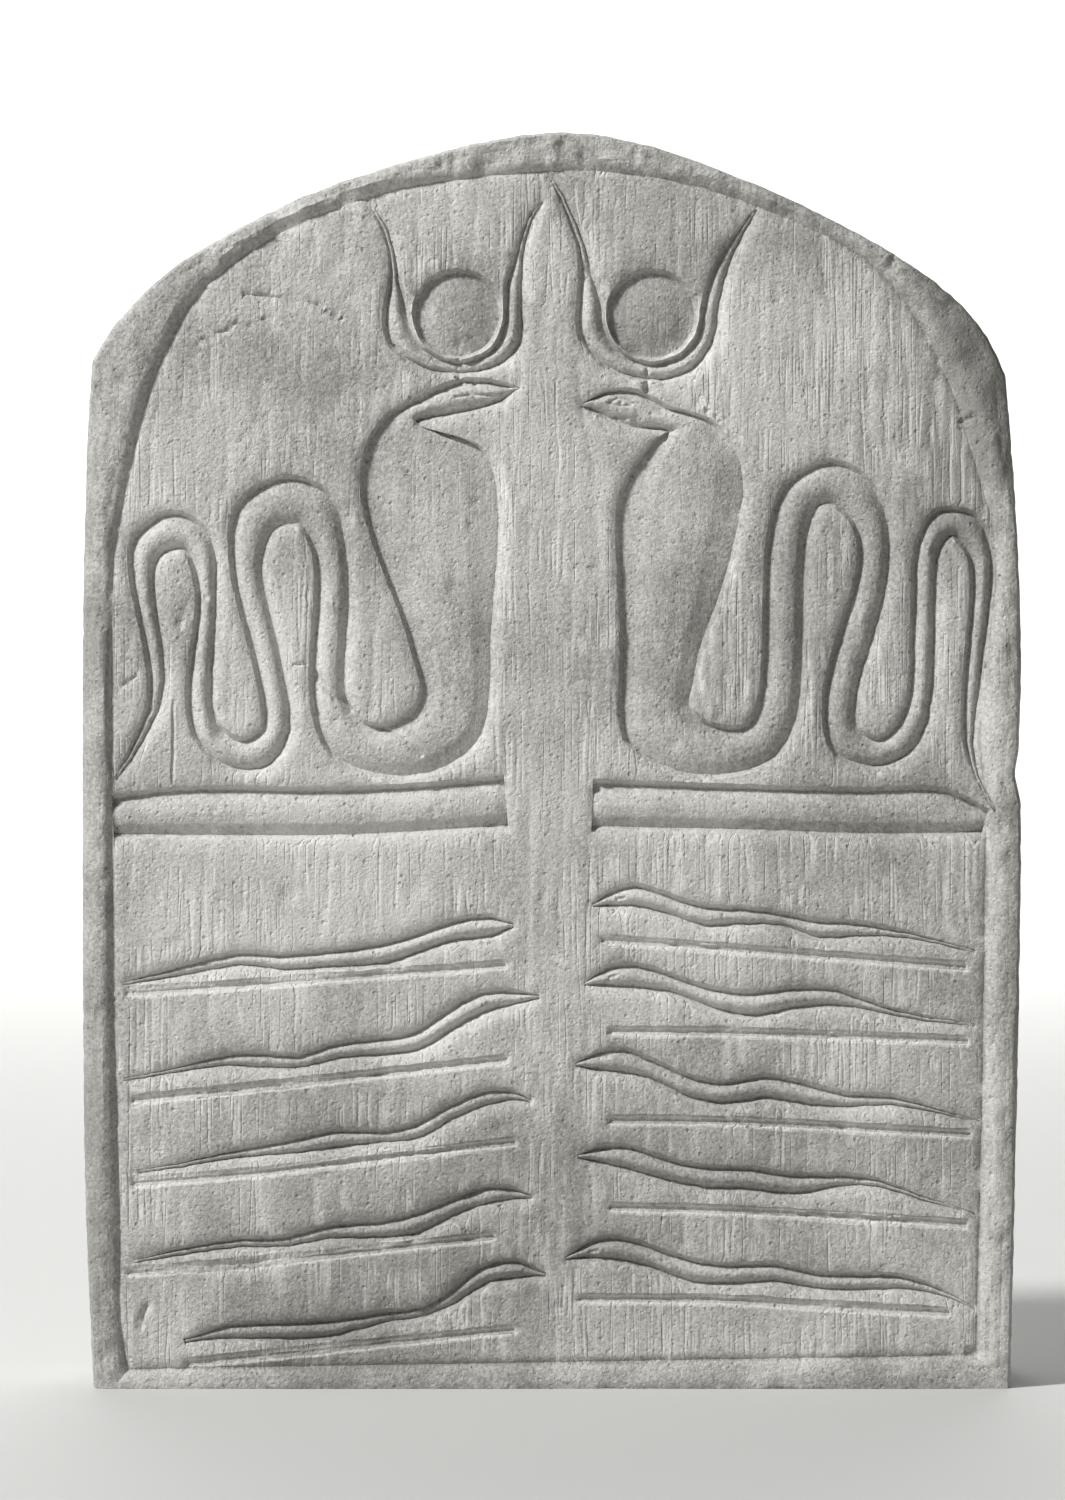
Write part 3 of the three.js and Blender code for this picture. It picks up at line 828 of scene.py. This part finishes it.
side_rings = int((depth - FIRST_PULL - BACK_ROUND) / SIDE_STEP)
for ring in range(1, side_rings + 1):
    share = ring / side_rings
    loop = pull_back(net, loop, (low.y + FIRST_PULL) * (1 - share) + (high.y - BACK_ROUND) * share)
for from_back, shrink in BACK_EDGE:
    loop = pull_back(net, loop, high.y - from_back * MM)
    corners = list({vert for edge in loop for vert in edge.verts})
    scale = 1 - shrink * MM / high.x
    bmesh.ops.scale(net, vec=(scale, 1, scale), verts=corners)
bmesh.ops.contextual_create(net, geom=loop)
print(f"{side_rings} rings down the sides, {len(loop)} corners round the back")

# %% [markdown]
# The back is sliced like the face, only wider, and both back and sides are roughened with broad
# dressing marks. They are pushed into the stone only, and the underside stays flat to stand on.

# %% Roughen the back and the sides
BACK_CELL = 4.5 * MM
BACK_NEAR = 0.3 * MM
ON_BACK = 0.01 * MM
UNDERSIDE = 0.02 * MM


def slice_back(axis, start, stop):
    normal = Vector((0, 0, 0))
    normal[axis] = 1
    for cut in range(1, int((stop - start) / BACK_CELL)):
        faces = [face for face in net.faces if min(v.co.y for v in face.verts) > high.y - ON_BACK]
        bmesh.ops.bisect_plane(net, geom=with_edges(faces), dist=BACK_NEAR,
                               plane_co=normal * (start + cut * BACK_CELL), plane_no=normal)


slice_back(0, low.x, high.x)
slice_back(2, low.z, high.z)
net.normal_update()
for vert in net.verts:
    if vert in front_verts or vert.co.z < UNDERSIDE:
        continue
    x, y, z = vert.co / MM
    broad = 0.5 * abs(noise.noise(Vector((x, y * 0.6, z)) / 14))
    fine = 0.25 * abs(noise.noise(Vector((x, y, z)) / 4))
    vert.co -= vert.normal * (broad + fine) * MM
print("back and sides dressed")

# %% [markdown]
# ## One closed piece
# The piece keeps inside the block it was cut from, so any corner that has wandered past the
# measured box is put back on it. Then the net becomes one closed mesh with smooth shading that
# breaks at the crisp edges. The measured model brought its own shading directions along, which no
# longer fit the nudged net, so they are thrown away.

# %% Close and hand over the stone
for vert in net.verts:
    for axis in range(3):
        vert.co[axis] = min(max(vert.co[axis], low[axis]), high[axis])
bmesh.ops.recalc_face_normals(net, faces=net.faces[:])
for face in net.faces:
    face.smooth = True
bmesh.ops.triangulate(net, faces=[face for face in net.faces if len(face.verts) > 4])
mesh = bpy.data.meshes.new("carved_stone")
net.to_mesh(mesh)
if "custom_normal" in mesh.attributes:
    mesh.attributes.remove(mesh.attributes["custom_normal"])
stone = bpy.data.objects.new("carved_stone", mesh)
bpy.context.scene.collection.objects.link(stone)
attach(stone, "root")
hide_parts("stele")
open_edges = sum(not edge.is_manifold for edge in net.edges)
triangles = sum(len(face.verts) - 2 for face in net.faces)
print(f"{triangles} triangles, {open_edges} open edges")

# %% [markdown]
# ## Limestone
# The stone is a pale, faintly warm limestone, matt all over. Its finish is built from small nodes,
# so two helpers come first: one turns a colour mixed on screen into the shader's own scale, and
# one adds a node and wires its inputs.

# %% Start the limestone
ROUGHNESS = 0.92
SHEEN = 0.25


def linear(hex_colour):
    """A colour as mixed on screen, made linear for the shader."""
    parts = [int(hex_colour[i:i + 2], 16) / 255 for i in (0, 2, 4)]
    return [p / 12.92 if p <= 0.04045 else ((p + 0.055) / 1.055) ** 2.4 for p in parts] + [1]


def add_node(tree, kind, inputs=None, **settings):
    node = tree.nodes.new(kind)
    for key, value in settings.items():
        setattr(node, key, value)
    for key, value in (inputs or {}).items():
        if isinstance(value, bpy.types.NodeSocket):
            tree.links.new(value, node.inputs[key])
        else:
            node.inputs[key].default_value = value
    return node


limestone = bpy.data.materials.new("limestone")  # pale limestone, faintly warm
limestone.use_nodes = True
tree = limestone.node_tree
shader = tree.nodes["Principled BSDF"]
shader.inputs["Roughness"].default_value = ROUGHNESS
shader.inputs["Specular IOR Level"].default_value = SHEEN
place = add_node(tree, "ShaderNodeTexCoord").outputs["Object"]
print(f"limestone started, roughness {ROUGHNESS}")

# %% [markdown]
# These small helpers each add one step of the recipe. Scratches are thin lines: a noise stretched
# along the height passes its middle value along narrow curves, and only those curves are kept.

# %% Steps of the recipe
def math_node(operation, first, second=0.0):
    return add_node(tree, "ShaderNodeMath", {0: first, 1: second}, operation=operation).outputs[0]


def ramp(value, start, stop, first=0.0, last=1.0):
    inputs = {"Value": value, "From Min": start, "From Max": stop, "To Min": first, "To Max": last}
    return add_node(tree, "ShaderNodeMapRange", inputs, interpolation_type="SMOOTHSTEP").outputs[0]


def attribute(name):
    return add_node(tree, "ShaderNodeAttribute", attribute_name=name).outputs["Fac"]


def texture(kind, scale_mm, vector=place, **inputs):
    values = {"Vector": vector, "Scale": 1 / (scale_mm * MM)}
    values.update(inputs)
    return add_node(tree, kind, values)


def scratches(turn, across, along, thin, patch):
    """Thin broken lines up the stone: where a stretched noise passes its middle value."""
    scale = (1 / (across * MM), 1 / (across * MM), 1 / (along * MM))
    inputs = {"Vector": place, "Rotation": (0, math.radians(turn), 0), "Scale": scale}
    turned = add_node(tree, "ShaderNodeMapping", inputs, vector_type="POINT").outputs[0]
    streaks = add_node(tree, "ShaderNodeTexNoise", {"Vector": turned, "Scale": 1, "Detail": 1.0})
    middle = math_node("SUBTRACT", streaks.outputs["Fac"], 0.5)
    line = ramp(math_node("ABSOLUTE", middle), 0, thin, 1, 0)
    patches = texture("ShaderNodeTexNoise", patch, Detail=2)
    return math_node("MULTIPLY", line, ramp(patches.outputs["Fac"], 0.48, 0.66))


def bump(heights, distance, normal=None):
    inputs = {"Height": heights, "Distance": distance * MM, "Strength": 1}
    if normal:
        inputs["Normal"] = normal
    return add_node(tree, "ShaderNodeBump", inputs).outputs["Normal"]


def mix(first, second, share):
    node = add_node(tree, "ShaderNodeMix", {0: share}, data_type="RGBA")
    for socket, value in zip([s for s in node.inputs if s.type == "RGBA"], (first, second)):
        if isinstance(value, bpy.types.NodeSocket):
            tree.links.new(value, socket)
        else:
            socket.default_value = value
    return next(s for s in node.outputs if s.type == "RGBA")


print("steps ready: sums, ramps, layers, textures, scratches, bumps and mixes")

# %% [markdown]
# Scratches finer than the net are bumps. They run up the stone and cross at a few degrees, each
# row a different lean, spacing and length. Where the stone was combed there are more of them. Grains
# and pits under a millimetre or two roughen everything, and coarse stone most.

# %% Scratches and grains
tool_share = attribute("tooled")
steep = scratches(1.5, 2.6, 90, 0.06, 14)
crossing = scratches(-4, 3.2, 110, 0.05, 20)
leaning = scratches(6, 3.0, 80, 0.05, 11)
comb = scratches(1, 1.5, 80, 0.1, 18)
grain = texture("ShaderNodeTexNoise", 0.75, Detail=3, Roughness=0.8)
coarse_grain = texture("ShaderNodeTexNoise", 1.3, Detail=4, Roughness=0.8)
pits = texture("ShaderNodeTexVoronoi", 3.4, Randomness=1)
pit_floor = ramp(pits.outputs["Distance"], 0.05, 0.17)
fine_pits = texture("ShaderNodeTexVoronoi", 1.5, Randomness=1)
fine_pit_floor = ramp(fine_pits.outputs["Distance"], 0.08, 0.3)

normal = None
pale_lines = 0.0
comb_share = attribute("combed")
for lines, share, deep in ((steep, tool_share, -0.17), (crossing, tool_share, -0.16),
                           (leaning, tool_share, -0.14), (comb, comb_share, -0.2)):
    marks = math_node("MULTIPLY", lines, share)
    normal = bump(marks, deep, normal)
    pale_lines = math_node("MAXIMUM", marks, pale_lines)
normal = bump(grain.outputs["Fac"], 0.35, normal)
normal = bump(math_node("MULTIPLY", coarse_grain.outputs["Fac"], attribute("coarse")), 0.7, normal)
normal = bump(fine_pit_floor, 0.12, normal)
normal = bump(pit_floor, 0.2, normal)
tree.links.new(normal, shader.inputs["Normal"])
print("scratches, grains and pits added")

# %% [markdown]
# Broad clouds and small flecks move the stone between its darker and its paler grey, and the stain
# patches push it either way, some of them as painted light and shade. Hollows are painted darker,
# as dust and shade; crisp edges are painted paler, as rubbed stone and highlight; scratches are a
# little paler than the stone, and pits are dark.

# %% Colour
DARKER_GREY = linear("8E8D88")
PALER_GREY = linear("D1CFCA")
DUST_AND_PAINTED_SHADE = linear("8B877F")
RUBBED_EDGE_AND_HIGHLIGHT = linear("E2DFD8")
FRESH_CUT = linear("E8E6E0")
PIT_SHADE = linear("6F6B64")

cloud = texture("ShaderNodeTexNoise", 38, Detail=5, Roughness=0.62)
fleck = texture("ShaderNodeTexNoise", 0.85, Detail=3, Roughness=0.75)
# The patch layer carries stains and painted light and shade.
shade = math_node("ADD", attribute("stain_and_painted_light"), ramp(cloud.outputs["Fac"], 0.3, 0.7, -0.55, 0.55))
shade = math_node("ADD", shade, ramp(fleck.outputs["Fac"], 0.35, 0.65, -0.38, 0.38))
colour = mix(DARKER_GREY, PALER_GREY, ramp(shade, -1.1, 1.1))
# Painted shade with dust: the deeper a place lies, the darker it is mixed.
colour = mix(colour, DUST_AND_PAINTED_SHADE, ramp(attribute("hollow"), 0.8, 3.0, 0, 0.2))
# Painted highlight on rubbed stone: convex crisp edges are mixed paler.
colour = mix(colour, RUBBED_EDGE_AND_HIGHLIGHT, ramp(attribute("wear_and_highlight"), 0.2, 1.3, 0, 0.7))
colour = mix(colour, FRESH_CUT, ramp(pale_lines, 0, 1, 0, 0.4))
colour = mix(colour, FRESH_CUT, ramp(attribute("scored"), 0.05, 0.3, 0, 0.4))
colour = mix(colour, PIT_SHADE, ramp(pits.outputs["Distance"], 0.04, 0.12, 0.3, 0))
tree.links.new(colour, shader.inputs["Base Color"])
mesh.materials.append(limestone)
print("limestone mixed")

# %% [markdown]
# ## Light and room
# One soft lamp stands high on the left and rakes across the face, so walls on the upper left of
# each figure fall dark and walls on the lower right catch the light. Two wide lamps behind the
# slab wash the wall and the floor, and a dim pale sky keeps the shade open.

# %% Lamps
SKY = "F4F4F4"
SKY_STRENGTH = 0.07


def lamp(name, place, size, power, aim):
    data = bpy.data.lights.new(name, "AREA")
    data.size = size
    data.energy = power
    light = bpy.data.objects.new(name, data)
    light.location = place
    light.rotation_euler = (Vector(aim) - Vector(place)).to_track_quat("-Z", "Y").to_euler()
    bpy.context.scene.collection.objects.link(light)


# name, place, size, power, what it aims at
lamp("key", (-1.5, -1.02, 1.8), 0.36, 86, (0, 0, height / 2))
lamp("wall_wash", (0, 2.2, 3.2), 2.5, 150, (0, 5, 0.6))
lamp("floor_wash", (0, 4, 3), 2.5, 100, (0, 4, 0))

world = bpy.data.worlds.new("studio")
world.use_nodes = True
background = world.node_tree.nodes["Background"]
background.inputs["Color"].default_value = linear(SKY)
background.inputs["Strength"].default_value = SKY_STRENGTH
bpy.context.scene.world = world
bpy.context.scene.view_settings.view_transform = "Standard"
print("one key lamp, two washes and a dim sky")

# %% [markdown]
# The room is a pale painted floor and a paler wall far behind. Both are stage, not part of the
# stele.

# %% Floor and wall
ROOM_HALF = 6
WALL_BEHIND = 5
PAINT_ROUGHNESS = 0.9


def paint(name, hex_colour):
    material = bpy.data.materials.new(name)
    material.use_nodes = True
    finish = material.node_tree.nodes["Principled BSDF"]
    finish.inputs["Base Color"].default_value = linear(hex_colour)
    finish.inputs["Roughness"].default_value = PAINT_ROUGHNESS
    return material


def plane(name, matrix, finish):
    surface = bmesh.new()
    bmesh.ops.create_grid(surface, x_segments=1, y_segments=1, size=ROOM_HALF, matrix=matrix)
    data = bpy.data.meshes.new(name)
    surface.to_mesh(data)
    data.materials.append(finish)
    made = bpy.data.objects.new(name, data)
    bpy.context.scene.collection.objects.link(made)
    return made


floor_finish = paint("pale_grey_paint", "BEBEBC")  # matt floor paint, pale grey
wall_finish = paint("white_paint", "EEEEEC")  # matt wall paint, off-white
upright = Matrix.Translation((0, WALL_BEHIND, 0)) @ Matrix.Rotation(math.pi / 2, 4, "X")
floor = plane("floor", Matrix.Identity(4), floor_finish)
wall = plane("wall", upright, wall_finish)
print(f"floor and wall, {2 * ROOM_HALF} m across")
